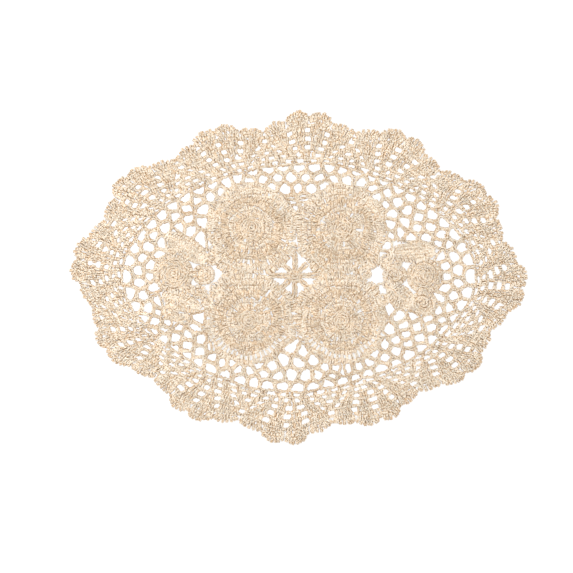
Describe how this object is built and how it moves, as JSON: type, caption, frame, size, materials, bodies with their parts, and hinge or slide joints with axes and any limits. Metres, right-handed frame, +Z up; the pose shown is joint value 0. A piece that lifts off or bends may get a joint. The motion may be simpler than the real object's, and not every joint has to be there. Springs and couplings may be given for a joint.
{
  "type": "crocheted lace doily",
  "caption": "Oval crocheted cotton lace doily laid flat, with rose motifs round a star, leaf sprays, an open net ground and a deep scalloped border.",
  "frame": {"origin": "centre of the underside of the whole doily's box, where it lies on the surface", "axes": "+X along its length, +Y towards its back edge, +Z up out of its face"},
  "size_m": [0.3778, 0.2746, 0.003],
  "materials": {
    "rose_cotton": "ecru crochet cotton in raised rounds of stitches, soft sheen",
    "spray_cotton": "ecru crochet cotton in dense leaves, soft sheen",
    "star_cotton": "ecru crochet cotton in paired cords, soft sheen",
    "net_cotton": "ecru crochet cotton in chain cords, soft sheen",
    "border_cotton": "ecru crochet cotton in rows of tall stitches, soft sheen"
  },
  "bodies": {
    "root": {"rose_back_left": "rose_cotton", "rose_back_right": "rose_cotton", "rose_front_left": "rose_cotton", "rose_front_right": "rose_cotton", "spray_left": "spray_cotton", "spray_right": "spray_cotton", "star_centre": "star_cotton", "ground_net": "net_cotton", "scalloped_border": "border_cotton"}
  },
  "joints": []
}
